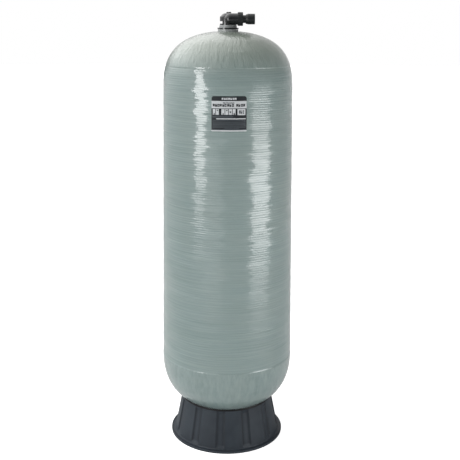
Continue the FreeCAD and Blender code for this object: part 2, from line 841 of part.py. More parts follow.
def make_coupling(side, port):
    """Coupling with a tapered shoulder, a glued socket for the tailpiece and one for the pipe."""
    body = new_body(f"{port}_coupling")
    revolve(body, "coupling", [
        ("tail_radius + glue_gap", "coupling_start"),
        ("coupling_nose_radius", "coupling_start"),
        ("coupling_radius", "coupling_shoulder_end"),
        ("coupling_radius", "coupling_end - edge_break"),
        ("coupling_radius - edge_break", "coupling_end"),
        ("pipe_socket_radius", "coupling_end"),
        ("pipe_socket_radius", "coupling_end - pipe_socket_depth"),
        ("coupling_way_radius", "coupling_end - pipe_socket_depth"),
        ("coupling_way_radius", "tail_end + end_gap"),
        ("tail_radius + glue_gap", "tail_end + end_gap"),
    ])
    place_on_port(body, side)
    return body


def make_port_o_ring(side, port):
    ring = make_o_ring(f"{port}_o_ring", "port_seal_ring", "port_seal_section", "port_height")
    ring.Placement.Rotation = FreeCAD.Rotation(V(0, 1, 0), 90)
    ring.setExpression(".Placement.Base.x", bound("port_seal_place"))
    ring.setExpression(".Placement.Base.y", bound(f"{side} * port_spacing / 2"))
    return ring


# ---------------------------------------------------------------- build, check and write


def make_all():
    pieces = [
        make_tank_shell(),
        make_tank_liner(),
        make_neck_insert(),
        make_tank_base(),
        make_front_label(),
        make_head_body(),
        make_head_trim(),
        make_top_diffuser(),
        make_tank_o_ring(),
        make_riser_o_ring(),
        make_vent_plug(),
        make_vent_plug_o_ring(),
        make_riser_tube(),
        make_distributor_hub(),
        make_bottom_distributor(),
    ]
    for side, port in (("-1", "inlet"), ("1", "outlet")):
        pieces.append(make_tailpiece(side, port))
        pieces.append(make_port_o_ring(side, port))
        pieces.append(make_split_ring(side, port))
        pieces.append(make_union_nut(side, port))
        pieces.append(make_coupling(side, port))
    return pieces


def check_document(pieces):
    """Stop with a plain message if any object failed or any piece isn't one sound solid."""
    faults = []
    for item in doc.Objects:
        if "Invalid" in item.State or "Error" in item.State:
            faults.append(f"{item.Label} is in state {item.State}")
    for piece in pieces:
        if piece.Shape.isNull() or not piece.Shape.isValid():
            faults.append(f"{piece.Label} has no valid shape")
        elif len(piece.Shape.Solids) != 1:
            faults.append(f"{piece.Label} has {len(piece.Shape.Solids)} solids")
    if faults:
        raise RuntimeError("; ".join(faults))


def write_pieces(pieces):
    os.makedirs("parts", exist_ok=True)
    for piece in pieces:
        piece.Shape.exportStep(f"parts/{piece.Label}.step")


pieces = make_all()
doc.recompute()
check_document(pieces)
write_pieces(pieces)
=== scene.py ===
"""Looks of a fibreglass water treatment tank on a fluted foot, with an in/out head.

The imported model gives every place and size.  This script replaces the plain tank shell, the foot
and the label with finer meshes, gives every piece a procedural material, and sets up the studio.
Lengths are in metres.
"""
import json
import math

import bmesh
import bpy
from mathutils import Euler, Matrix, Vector, noise


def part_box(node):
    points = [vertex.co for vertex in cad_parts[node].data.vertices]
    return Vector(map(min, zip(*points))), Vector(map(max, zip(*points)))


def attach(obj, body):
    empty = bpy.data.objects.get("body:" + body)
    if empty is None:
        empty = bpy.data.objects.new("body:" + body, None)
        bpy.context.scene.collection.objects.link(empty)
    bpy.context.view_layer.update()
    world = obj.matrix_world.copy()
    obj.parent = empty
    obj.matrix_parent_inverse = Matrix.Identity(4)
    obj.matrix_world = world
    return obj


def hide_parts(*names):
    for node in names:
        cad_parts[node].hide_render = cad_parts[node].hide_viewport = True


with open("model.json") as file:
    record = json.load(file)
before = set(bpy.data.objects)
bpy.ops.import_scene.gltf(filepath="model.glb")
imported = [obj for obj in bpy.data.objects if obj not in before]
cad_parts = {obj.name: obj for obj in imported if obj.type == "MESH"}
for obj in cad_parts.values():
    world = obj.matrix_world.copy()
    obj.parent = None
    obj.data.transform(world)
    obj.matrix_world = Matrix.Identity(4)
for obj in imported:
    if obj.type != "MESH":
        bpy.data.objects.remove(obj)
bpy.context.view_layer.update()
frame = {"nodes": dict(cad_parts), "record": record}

TAU = 2 * math.pi
MM = 0.001


# ---------------------------------------------------------------- sizes

# tank shell: superelliptic domes on a straight middle, open at the neck
SHELL_LOW, SHELL_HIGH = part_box("tank_shell")
TANK_RADIUS = SHELL_HIGH.x
DOME_HEIGHT = 0.267
DOME_POWER = 2.62
NECK_RADIUS = 0.044
WALL = 0.0045
SHELL_SEGMENTS = 96
DOME_STEPS = 74
INNER_DOME_STEPS = 14
INNER_ROW_GAP = 0.2

# hoop winding: width of one turn, how far its edge wanders (in turns) and how fast the wander
# moves round with height (in radians a metre)
TAPE_PITCH = 0.0105
TAPE_WANDER = 0.35
TAPE_WANDER_RISE = 9.0
ROWS_PER_TURN = 6
# half the width of a turn's flat face, as a share of the turn
TAPE_FLAT = 0.28
# how much a turn's face leans sideways in the material, as a slope
TAPE_LEAN = 0.20
HOOP_HEIGHT = 0.5 * MM
GROOVE_DEPTH = 0.34 * MM
# how often the grooves' depth and the turns' height change on the way up, per metre
GROOVE_ZONES = 9
HOOP_SWELLS = 26
# the winding's middle height is sunk by this much, so that it stays on the CAD outline
WINDING_SINK = 0.45 * MM
# length over which the last hoop turn thins out to nothing
HOOP_END = 0.009

# dome strands: number of ridges round the tank, their height, and the height of their unevenness
DOME_RIDGES = 30
RIDGE_HEIGHT = 0.16 * MM
STRAND_SWELL = 0.5 * MM
# extra thickness of the bottom dome, so that it sits tight in the foot
SEAT_FILL = 1.4 * MM
# extra thickness where the strands pile up round the neck, and how far out it reaches
NECK_FILL = 3.5 * MM
NECK_FILL_REACH = 0.19

# foot: radii of its hollow cone and seat, heights of its flange and cone, and its flutes
FOOT_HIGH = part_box("tank_base")[1]
FOOT_EDGE = FOOT_HIGH.x
FOOT_TOP = FOOT_HIGH.z
FOOT_WAIST = 0.249
FOOT_RIM = 0.2146
FOOT_SEAT = 0.196
FOOT_WALL = 0.006
SEAT_SLOPE = math.radians(30)
FLANGE_TOP = 0.008
FOOT_SEGMENTS = 720
CONE_STEPS = 44
INSIDE_STEPS = 8
FLUTES = 12
FLUTE_CLOCKING = math.radians(23)
FLUTE_HALF = math.radians(4.5)
FLUTE_DEPTH = 0.0048
BEAD_HEIGHT = 0.0003

# label: the sheet's arc, its turn away from the front, and how it lies on the shell
LABEL_LOW, LABEL_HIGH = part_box("front_label")
LABEL_ARC = math.radians(29.1)
LABEL_TURN = math.radians(1.1)
LABEL_CORNER = 0.010
LABEL_LIFT = 0.00048
LABEL_SHEET = 0.00035
LABEL_CELLS = 110


def smooth_step(low, high, value):
    """0 below low, 1 above high, and a smooth rise between them."""
    share = min(1.0, max(0.0, (value - low) / (high - low)))
    return share * share * (3 - 2 * share)


def dome_rise(radius, inset=0.0):
    """Height of the dome above its tangent line at a radius."""
    share = min(1.0, radius / (TANK_RADIUS - inset))
    return (DOME_HEIGHT - inset) * (1 - share ** DOME_POWER) ** (1 / DOME_POWER)


# heights where the straight side meets the bottom dome and the top dome
LOWER = SHELL_LOW.z + DOME_HEIGHT
UPPER = SHELL_HIGH.z - dome_rise(NECK_RADIUS)
# heights where the hoop turns start and end
HOOP_BOTTOM = LOWER - 0.010
HOOP_TOP = UPPER + 0.102
# over this band of heights the grooves between the turns grow deeper, and their painted shade and
# thinner coat fade
GROOVED_BAND = (UPPER - 0.17, UPPER - 0.05)


# ---------------------------------------------------------------- mesh helpers


def ring_point(radius, angle, height):
    return (radius * math.cos(angle), radius * math.sin(angle), height)


def plain_ring(bm, radius, height, segments):
    """A level circle of vertices."""
    angles = [TAU * step / segments for step in range(segments)]
    return [bm.verts.new(ring_point(radius, angle, height)) for angle in angles]


def join_rings(bm, rings, closed=False):
    """Skin neighbouring rings with quads, and the last to the first if closed."""
    pairs = list(zip(rings, rings[1:]))
    if closed:
        pairs.append((rings[-1], rings[0]))
    for low, high in pairs:
        count = len(low)
        for step in range(count):
            after = (step + 1) % count
            bm.faces.new((low[step], low[after], high[after], high[step]))


def cap_ring(bm, ring, height):
    """Close a ring with a fan to a point on the axis."""
    tip = bm.verts.new((0, 0, height))
    count = len(ring)
    for step in range(count):
        bm.faces.new((ring[step], ring[(step + 1) % count], tip))


def mesh_object(name, bm):
    """Turn a bmesh into a smooth object with outward normals."""
    bmesh.ops.recalc_face_normals(bm, faces=bm.faces)
    mesh = bpy.data.meshes.new(name)
    bm.to_mesh(mesh)
    bm.free()
    for polygon in mesh.polygons:
        polygon.use_smooth = True
    piece = bpy.data.objects.new(name, mesh)
    bpy.context.scene.collection.objects.link(piece)
    return piece


def stand_in(piece, node, materials):
    """Let a finer piece on the tank's body take the place of a CAD node."""
    for material in materials:
        piece.data.materials.append(material)
    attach(piece, "tank")
    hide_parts(node)


# ---------------------------------------------------------------- tank shell


def tape_groove(angle, height):
    """0 on the flat of a turn of tape, 1 in the narrow groove between two turns."""
    wander = TAPE_WANDER * math.sin(angle + TAPE_WANDER_RISE * height)
    share = (height / TAPE_PITCH + wander) % 1
    return smooth_step(TAPE_FLAT, 0.5, abs(share - 0.5))


def hoop_height(angle, height):
    """Height of the hoop turns: uneven, with a groove between every two of them."""
    side = Vector((math.cos(angle), math.sin(angle), 0))
    zone = noise.noise(side * 0.8 + Vector((0.3, 0.1, height * GROOVE_ZONES)))
    depth = 0.35 + 0.65 * smooth_step(-0.35, 0.2, zone) + 0.6 * smooth_step(*GROOVED_BAND, height)
    swell = noise.noise(side * 1.5 + Vector((0, 0, height * HOOP_SWELLS)))
    return HOOP_HEIGHT * (1 + swell) - GROOVE_DEPTH * depth * tape_groove(angle, height)


def strand_height(angle, radius, height):
    """Height of the dome's strands, which run straight past the neck on both sides."""
    lean = math.acos(min(1.0, NECK_RADIUS / max(radius, NECK_RADIUS)))
    ridges = math.sin(DOME_RIDGES * (angle + lean)) + math.sin(DOME_RIDGES * (angle - lean) + 1.0)
    total = RIDGE_HEIGHT * ridges * smooth_step(0.06, 0.16, radius)
    if height < LOWER:
        total += SEAT_FILL * smooth_step(0.02, 0.10, radius)
    else:
        clear_of_collar = smooth_step(0.046, 0.056, radius)
        near_neck = 1 - smooth_step(NECK_RADIUS, NECK_FILL_REACH, radius)
        total += NECK_FILL * clear_of_collar * near_neck
    crossing = 3 * Vector((math.cos(angle + lean), math.sin(angle + lean), 0))
    return total + STRAND_SWELL * noise.noise(crossing + Vector((0, 0, height * 4)))


def winding_height(angle, radius, height):
    """How far the winding stands above the smooth outline; the hoop turns end in a small step."""
    on_top = smooth_step(HOOP_TOP, HOOP_TOP + HOOP_END, height)
    on_bottom = 1 - smooth_step(HOOP_BOTTOM - HOOP_END, HOOP_BOTTOM, height)
    on_dome = on_top + on_bottom
    hoop = hoop_height(angle, height) * (1 - on_dome)
    return hoop + strand_height(angle, radius, height) * on_dome - WINDING_SINK


def tank_rows(inset, dome_steps, row_gap):
    """Outline points (radius, height) from the bottom apex to the neck opening.

    They are evenly spaced as far up as the hoop turns reach, and turn evenly on the bare domes.
    """
    side, rise = TANK_RADIUS - inset, DOME_HEIGHT - inset
    power = 2 / DOME_POWER
    turns = [math.pi / 2 * step / dome_steps for step in range(1, dome_steps)]
    dome = [(side * math.cos(turn) ** power, rise * math.sin(turn) ** power) for turn in turns]
    rows = [(radius, LOWER - height) for radius, height in reversed(dome)]
    hoop_end = HOOP_TOP + HOOP_END
    count = round((hoop_end - LOWER) / row_gap)
    for step in range(count + 1):
        height = LOWER + (hoop_end - LOWER) * step / count
        share = max(0.0, height - UPPER) / rise
        rows.append((side * (1 - share ** DOME_POWER) ** (1 / DOME_POWER), height))
    for radius, height in dome:
        if UPPER + height > hoop_end and radius > NECK_RADIUS:
            rows.append((radius, UPPER + height))
    rows.append((NECK_RADIUS, UPPER + dome_rise(NECK_RADIUS, inset)))
    return rows


def outline_normal(radius, height):
    """Outward direction (radial part, vertical part) of the smooth outline."""
    rise = max(0.0, height - UPPER) - max(0.0, LOWER - height)
    out = (radius / TANK_RADIUS) ** (DOME_POWER - 1) / TANK_RADIUS
    up = (abs(rise) / DOME_HEIGHT) ** (DOME_POWER - 1) / DOME_HEIGHT
    length = math.hypot(out, up)
    return out / length, math.copysign(up / length, rise)


def winding_ring(bm, radius, height):
    """A circle of the outer face, pushed out along the outline's normal by the winding."""
    out, up = outline_normal(radius, height)
    ring = []
    for step in range(SHELL_SEGMENTS):
        angle = TAU * step / SHELL_SEGMENTS
        swell = winding_height(angle, radius, height)
        ring.append(bm.verts.new(ring_point(radius + out * swell, angle, height + up * swell)))
    return ring


def make_winding():
    """Closed shell mesh: wound outer face, neck opening and a coarser inner face."""
    bm = bmesh.new()
    outer = tank_rows(0.0, DOME_STEPS, TAPE_PITCH / ROWS_PER_TURN)
    inner = tank_rows(WALL, INNER_DOME_STEPS, INNER_ROW_GAP)
    rings = [winding_ring(bm, radius, height) for radius, height in outer]
    rings += [plain_ring(bm, radius, height, SHELL_SEGMENTS) for radius, height in reversed(inner)]
    join_rings(bm, rings)
    cap_ring(bm, rings[0], SHELL_LOW.z)
    cap_ring(bm, rings[-1], SHELL_LOW.z + WALL)
    return mesh_object("shell_winding", bm)


# ---------------------------------------------------------------- foot


def off_flute(angle):
    """Angle from the middle of the nearest flute."""
    pitch = TAU / FLUTES
    return abs((angle - FLUTE_CLOCKING + pitch / 2) % pitch - pitch / 2)


def flute_share(angle):
    """1 in the middle of a recessed flute, 0 on the panels between flutes."""
    start, end = FLUTE_HALF - math.radians(1.5), FLUTE_HALF + math.radians(0.7)
    return 1 - smooth_step(start, end, off_flute(angle))


def bead_share(angle):
    """1 on the slim bead along each side of a flute."""
    off_bead = off_flute(angle) - FLUTE_HALF - math.radians(1.3)
    return math.exp(-(off_bead / math.radians(0.7)) ** 2)


def foot_ring(bm, radius, height, depth=0.0):
    """A circle of the foot; depth is the share of the flutes' full depth at this height."""
    ring = []
    for step in range(FOOT_SEGMENTS):
        angle = TAU * step / FOOT_SEGMENTS
        local = radius
        if depth:
            local += depth * (BEAD_HEIGHT * bead_share(angle) - FLUTE_DEPTH * flute_share(angle))
        ring.append(bm.verts.new(ring_point(local, angle, height)))
    return ring


def cone_radius(height):
    """Radius of the outer cone, which narrows evenly from the flange to the rim."""
    share = (height - FLANGE_TOP) / (FOOT_TOP - FLANGE_TOP)
    return FOOT_WAIST + (FOOT_RIM - FOOT_WAIST) * share


def flange_line():
    """Flange from its underside round the raised lip to the cone, as (radius, height)."""
    line = [(0.2430, 0.0006), (0.2440, 0.0)]
    # the lip, as (distance in from the edge, height)
    lip = ((0.0012, 0.0000), (0.0003, 0.0004), (0.0000, 0.0014), (0.0000, 0.0088),
           (0.0004, 0.0096), (0.0012, 0.0100), (0.0022, 0.0098), (0.0029, 0.0092),
           (0.0036, 0.0084), (0.0050, FLANGE_TOP))
    line += [(FOOT_EDGE - inward, height) for inward, height in lip]
    return line + [(0.2560, FLANGE_TOP), (0.2520, 0.0082), (0.2500, 0.0090)]


def rim_line():
    """Rounded rim and the sloping seat inside it, as (radius, height)."""
    drop = (FOOT_RIM - 1 * MM - FOOT_SEAT) * math.tan(SEAT_SLOPE)
    # the rounding, as (distance out from the cone's end, distance below the top)
    rounding = ((0.8 * MM, 1.0 * MM), (0.2 * MM, 0.2 * MM), (-0.6 * MM, 0.0), (-1.2 * MM, 0.6 * MM))
    line = [(FOOT_RIM + outward, FOOT_TOP - below) for outward, below in rounding]
    seat_height = FOOT_TOP - 0.6 * MM - drop
    return line + [(FOOT_SEAT, seat_height), (FOOT_SEAT, seat_height - FOOT_WALL)]


def make_foot():
    """Flared foot: flat lipped flange, fluted cone, rolled rim and a hollow inside."""
    bm = bmesh.new()
    rings = [foot_ring(bm, radius, height) for radius, height in flange_line()]
    cone_low, cone_high = 10.5 * MM, FOOT_TOP - 2 * MM
    for step in range(CONE_STEPS + 1):
        height = cone_low + (cone_high - cone_low) * step / CONE_STEPS
        below_rim = 1 - smooth_step(FOOT_TOP - 21 * MM, FOOT_TOP - 11 * MM, height)
        depth = smooth_step(14 * MM, 24 * MM, height) * below_rim
        rolled = 1 * MM * smooth_step(FOOT_TOP - 11 * MM, FOOT_TOP - 8.5 * MM, height)
        rings.append(foot_ring(bm, cone_radius(height) + rolled, height, depth))
    rings += [foot_ring(bm, radius, height) for radius, height in rim_line()]
    inside_high, inside_low = rim_line()[-1][1], 2 * MM
    for step in range(INSIDE_STEPS + 1):
        height = inside_high + (inside_low - inside_high) * step / INSIDE_STEPS
        rings.append(foot_ring(bm, cone_radius(height) - FOOT_WALL, height))
    join_rings(bm, rings, closed=True)
    return mesh_object("foot", bm)


# ---------------------------------------------------------------- label

BLACK, WHITE, GREY = 0, 1, 2


def print_row(left, right, low, high, words, ink, ground):
    """A row of plain blocks, each with one notch, that stands in for a line of large print."""
    bars = []
    step = (right - left) / words
    third = (high - low) / 3
    for word in range(words):
        start = left + step * word
        end = start + 0.82 * step
        bars.append((start, end, low, high, ink))
        middle = (start + end) / 2
        notch = low + third * (word * 2 % 3)
        notch_left, notch_right = middle - 0.12 * step, middle + 0.20 * step
        bars.append((notch_left, notch_right, notch, notch + 0.8 * third, ground))
    return bars


def label_bars():
    """Bands and bars of the print as (left, right, low, high, ink), in shares of the label.

    A later bar covers an earlier one.
    """
    bars = [
        (0.00, 1.00, 0.655, 0.862, WHITE),
        (0.735, 0.965, 0.461, 0.638, WHITE),
        (0.02, 0.62, 0.395, 0.447, GREY),
        (0.14, 0.97, 0.347, 0.377, WHITE),
        (0.025, 0.975, 0.100, 0.325, GREY),
        (0.36, 0.79, 0.066, 0.090, GREY),
        (0.00, 1.00, 0.000, 0.062, GREY),
        (0.00, 1.00, 0.004, 0.040, WHITE),
    ]
    bars += print_row(0.29, 0.72, 0.897, 0.958, 7, WHITE, BLACK)
    bars += print_row(0.33, 0.65, 0.792, 0.828, 9, GREY, WHITE)
    bars += print_row(0.036, 0.645, 0.700, 0.778, 9, BLACK, WHITE)
    bars += print_row(0.70, 0.965, 0.700, 0.778, 4, BLACK, WHITE)
    bars += print_row(0.035, 0.225, 0.475, 0.632, 2, WHITE, BLACK)
    bars += print_row(0.285, 0.70, 0.475, 0.632, 4, WHITE, BLACK)
    bars += print_row(0.78, 0.94, 0.500, 0.600, 3, GREY, WHITE)
    for line in range(5):
        low = 0.125 + 0.040 * line
        bars.append((0.04, 0.96 - 0.03 * (line % 3), low, low + 0.012, BLACK))
    return bars


def ink_at(bars, across, up):
    """The ink of the last bar over a place on the label, black where there is none."""
    ink = BLACK
    for left, right, low, high, number in bars:
        if left <= across <= right and low <= up <= high:
            ink = number
    return ink


def sheet_point(column, row, depth):
    """A grid point of the label, drawn in at the rounded upper corners."""
    height = LABEL_HIGH.z - LABEL_LOW.z
    width = LABEL_ARC * TANK_RADIUS
    up = row / LABEL_CELLS
    from_top = height * (1 - up)
    inset = 0.0
    if from_top < LABEL_CORNER:
        rise = LABEL_CORNER - from_top
        inset = LABEL_CORNER - math.sqrt(max(0.0, LABEL_CORNER ** 2 - rise ** 2))
    reach = -width / 2 + inset + (width - 2 * inset) * column / LABEL_CELLS
    angle = LABEL_TURN - math.pi / 2 + reach / TANK_RADIUS
    return ring_point(TANK_RADIUS + LABEL_LIFT - depth, angle, LABEL_LOW.z + height * up)


def sheet_grid(bm, depth):
    places = range(LABEL_CELLS + 1)
    return [[bm.verts.new(sheet_point(column, row, depth)) for column in places] for row in places]


def grid_rim(grid):
    """The outer vertices of a grid, in order round it."""
    right = [line[-1] for line in grid[1:]]
    left = [line[0] for line in grid[-2:0:-1]]
    return grid[0] + right + grid[-1][-2::-1] + left


def make_label():
    """Printed sheet on the shell's front, one ink to each cell of its face."""
    bm = bmesh.new()
    bars = label_bars()
    front = sheet_grid(bm, 0.0)
    back = sheet_grid(bm, LABEL_SHEET)
    for row in range(LABEL_CELLS):
        for column in range(LABEL_CELLS):
            corners = ((row, column), (row, column + 1), (row + 1, column + 1), (row + 1, column))
            face = bm.faces.new([front[line][place] for line, place in corners])
            middle = ((column + 0.5) / LABEL_CELLS, (row + 0.5) / LABEL_CELLS)
            face.material_index = ink_at(bars, *middle)
            bm.faces.new([back[line][place] for line, place in reversed(corners)])
    join_rings(bm, [grid_rim(back), grid_rim(front)])
    return mesh_object("label_sheet", bm)


# ---------------------------------------------------------------- node graphs


class Graph:
    """A short way to write nodes: each call adds one node and returns one of its outputs."""

    def __init__(self, owner):
        owner.use_nodes = True
        self.owner = owner
        self.tree = owner.node_tree

    def add(self, kind, inputs=(), output=0, **settings):
        """Add a node, set its properties, and feed its inputs by name or number."""
        node = self.tree.nodes.new(kind)
        for key, value in settings.items():
            setattr(node, key, value)
        for key, value in dict(inputs).items():
            self.feed(node.inputs[key], value)
        return node.outputs[output]

    def feed(self, socket, value):
        """Link a socket to an output, or set its plain value."""
        if isinstance(value, bpy.types.NodeSocket):
            self.tree.links.new(value, socket)
        else:
            socket.default_value = value

    def math(self, operation, first, second=0.0, third=0.0, clamp=False):
        inputs = {0: first, 1: second, 2: third}
        return self.add("ShaderNodeMath", inputs, operation=operation, use_clamp=clamp)

    def times(self, first, second):
        return self.math("MULTIPLY", first, second)

    def vector(self, operation, first, second=(0.0, 0.0, 0.0)):
        """Vector maths; for SCALE the second value is the factor."""
        key = "Scale" if operation == "SCALE" else 1
        output = "Value" if operation == "DOT_PRODUCT" else "Vector"
        inputs = {0: first, key: second}
        return self.add("ShaderNodeVectorMath", inputs, output, operation=operation)

    def scaled(self, vector, scale):
        """A vector with each axis multiplied by its own scale."""
        return self.vector("MULTIPLY", vector, scale)

    def axes(self, vector):
        """The X, Y and Z parts of a vector."""
        node = self.tree.nodes.new("ShaderNodeSeparateXYZ")
        self.feed(node.inputs[0], vector)
        return node.outputs

    def noise(self, vector, scale, detail=3.0, roughness=0.5):
        inputs = {"Vector": vector, "Scale": scale, "Detail": detail, "Roughness": roughness}
        return self.add("ShaderNodeTexNoise", inputs)

    def swing(self, value):
        """A noise value moved from 0..1 to -0.5..0.5."""
        return self.math("SUBTRACT", value, 0.5)

    def stretch(self, low, high, value, new_low=0.0, new_high=1.0):
        """Map the range low..high of a value smoothly to new_low..new_high."""
        inputs = {"Value": value, "From Min": low, "From Max": high,
                  "To Min": new_low, "To Max": new_high}
        return self.add("ShaderNodeMapRange", inputs, interpolation_type="SMOOTHSTEP")

    def between(self, share, first, second):
        """A value part of the way from the first to the second."""
        return self.add("ShaderNodeMix", {0: share, 2: first, 3: second})

    def mix(self, share, first, second):
        """A colour part of the way from the first to the second."""
        inputs = {0: share, 6: first, 7: second}
        return self.add("ShaderNodeMix", inputs, output=2, data_type="RGBA")

    def bump(self, height, distance, strength=1.0, normal=None):
        inputs = {"Height": height, "Distance": distance, "Strength": strength}
        if normal is not None:
            inputs["Normal"] = normal
        return self.add("ShaderNodeBump", inputs)

    def place(self):
        """The shaded point in the row frame, in metres."""
        return self.add("ShaderNodeTexCoord", output="Object")

    def finish(self, **values):
        """Feed the surface shader's inputs, named with underscores for spaces."""
        shader = self.tree.nodes["Principled BSDF"]
        for key, value in values.items():
            self.feed(shader.inputs[key.replace("_", " ")], value)
        return self.owner


def colour(red, green, blue):
    return (red, green, blue, 1.0)


def shaded(ink, factor, lift=0.0):
    """A colour multiplied by a factor and lifted evenly, no part above 1."""
    return colour(*(min(1.0, factor * part + lift) for part in ink[:3]))


# ---------------------------------------------------------------- fibreglass

STRAND_DARK, STRAND_LIGHT = colour(0.215, 0.292, 0.283), colour(0.292, 0.372, 0.360)
HOOP_TINT = colour(0.275, 0.35, 0.35)
CLOUD_TINT = colour(0.295, 0.35, 0.325)
# the top tint is painted light on the top dome
TOP_PAINTED_LIGHT = colour(0.41, 0.45, 0.375)
# the groove tint is painted shade, for the grooves and the domes
PAINTED_SHADE_TINT = colour(0.15, 0.20, 0.19)


def dome_share(g, height):
    """0 where the hoop turns cover the tank, 1 on the bare domes."""
    on_top = g.stretch(HOOP_TOP, HOOP_TOP + HOOP_END, height)
    on_bottom = g.stretch(HOOP_BOTTOM - HOOP_END, HOOP_BOTTOM, height, 1.0, 0.0)
    return g.math("ADD", on_top, on_bottom, clamp=True)


def dome_strands(g, point, turn, radius, height):
    """Noise along straight lines past the neck, one family each way, each in its own patches."""
    outward = g.math("MAXIMUM", radius, NECK_RADIUS)
    lean = g.math("ARCCOSINE", g.math("DIVIDE", NECK_RADIUS, outward))
    families = []
    for direction, shift in ((1.0, 0.0), (-1.0, 7.3)):
        angle = g.math("MULTIPLY_ADD", lean, direction, turn)
        ring = g.add("ShaderNodeCombineXYZ", {
            "X": g.math("COSINE", angle), "Y": g.math("SINE", angle),
            "Z": g.math("MULTIPLY_ADD", height, 0.9, shift)})
        families.append(g.noise(ring, 17.0, detail=4.0, roughness=0.62))
    patch = g.stretch(0.40, 0.60, g.noise(point, 11.0, detail=1.0))
    return g.between(patch, *families)


def tape_nodes(g, turn, height):
    """Number of the turn of tape at the shaded point, and 1 in the groove beside it."""
    wander = g.math("SINE", g.math("MULTIPLY_ADD", height, TAPE_WANDER_RISE, turn))
    place = g.math("MULTIPLY_ADD", wander, TAPE_WANDER, g.math("DIVIDE", height, TAPE_PITCH))
    off = g.math("ABSOLUTE", g.swing(g.math("FRACT", place)))
    return g.math("FLOOR", place), g.stretch(0.20, 0.44, off)


def groove_share(g, point, groove, on_cylinder, height):
    """The groove where it shows: in patches, fading towards the top and gone on the domes."""
    patch = g.noise(g.scaled(point, (4.0, 4.0, 70.0)), 1.0, detail=2.0)
    depth = g.stretch(0.40, 0.56, patch, 0.35, 1.0)
    depth = g.times(depth, g.stretch(*GROOVED_BAND, height, 1.0, 0.25))
    return g.times(groove, g.times(depth, on_cylinder))


def leaning_normal(g, point, number, on_cylinder):
    """Surface normal turned a little sideways, differently on every turn of tape.

    This breaks tall reflections up into short blocks.
    """
    across, along, _ = g.axes(point)
    block = g.add("ShaderNodeCombineXYZ", {
        "X": g.times(across, 7.0), "Y": g.times(along, 7.0), "Z": g.times(number, 1.7)})
    quick = g.times(g.swing(g.noise(block, 1.0, detail=2.0, roughness=0.6)), 1.5)
    slow = g.swing(g.noise(g.scaled(point, (5.0, 5.0, 26.0)), 1.0, detail=1.0))
    amount = g.times(g.math("ADD", quick, slow), on_cylinder)
    sideways = g.vector("NORMALIZE", g.vector("CROSS_PRODUCT", point, (0.0, 0.0, 1.0)))
    push = g.vector("SCALE", sideways, g.times(amount, TAPE_LEAN))
    smooth = g.add("ShaderNodeNewGeometry", output="Normal")
    return g.vector("NORMALIZE", g.vector("ADD", smooth, push))


def winding_colour(g, point, height, streak, on_dome, groove):
    """Grey-green strands, with painted light that makes the top of the tank lighter and warmer, and
    painted shade in the grooves and, evenly, on the domes.
    """
    coarse_hoop = g.noise(g.scaled(point, (1.5, 1.5, 60.0)), 1.0, detail=2.0)
    cloud = g.noise(point, 5.0, detail=2.0)
    base = g.mix(g.stretch(0.30, 0.70, streak), STRAND_DARK, STRAND_LIGHT)
    base = g.mix(g.stretch(0.35, 0.65, coarse_hoop, 0.0, 0.35), base, HOOP_TINT)
    base = g.mix(g.stretch(0.35, 0.70, cloud, 0.0, 0.25), base, CLOUD_TINT)
    # painted light: the top dome is painted lighter and warmer towards the neck, for the bright
    # backdrop it reflects there
    top_painted_light = g.stretch(UPPER + 0.05, UPPER + 0.26, height)
    base = g.mix(g.times(top_painted_light, 0.75), base, TOP_PAINTED_LIGHT)
    # painted shade: dark in the grooves between the turns, and the domes darkened evenly by a share
    # near the grooves' average
    shade = g.math("MULTIPLY_ADD", on_dome, 0.10, g.times(groove, 0.22))
    return g.mix(shade, base, PAINTED_SHADE_TINT)


def fibreglass_material():
    """Filament winding under a glossy resin coat.

    The cylinder shows hoop strands, and the domes show strands that run past the neck.
    """
    g = Graph(bpy.data.materials.new("fibreglass"))
    point = g.place()
    across, along, height = g.axes(point)
    turn = g.math("ARCTAN2", along, across)
    radius = g.math("SQRT", g.math("MULTIPLY_ADD", across, across, g.times(along, along)))
    on_dome = dome_share(g, height)
    on_cylinder = g.math("SUBTRACT", 1.0, on_dome)
    # squeezed along the axis and stretched round the tank
    hoop = g.noise(g.scaled(point, (3.0, 3.0, 330.0)), 1.0, detail=4.0, roughness=0.6)
    dome = dome_strands(g, point, turn, radius, height)
    streak = g.between(on_dome, hoop, dome)
    number, groove = tape_nodes(g, turn, height)
    groove = groove_share(g, point, groove, on_cylinder, height)
    leaning = leaning_normal(g, point, number, on_cylinder)
    relief = g.between(on_dome, g.times(hoop, 0.22), g.times(dome, 4.0))
    resin = g.bump(relief, 1.1 * MM, normal=leaning)
    return g.finish(
        Base_Color=winding_colour(g, point, height, streak, on_dome, groove),
        Roughness=g.stretch(0.3, 0.7, streak, 0.32, 0.44),
        Normal=g.bump(streak, 0.3 * MM, strength=0.5, normal=resin),
        IOR=1.5, Specular_IOR_Level=0.2,
        Coat_Weight=g.math("MULTIPLY_ADD", groove, -0.92, 1.0),
        Coat_Roughness=0.06, Coat_Normal=resin)


# ---------------------------------------------------------------- other materials


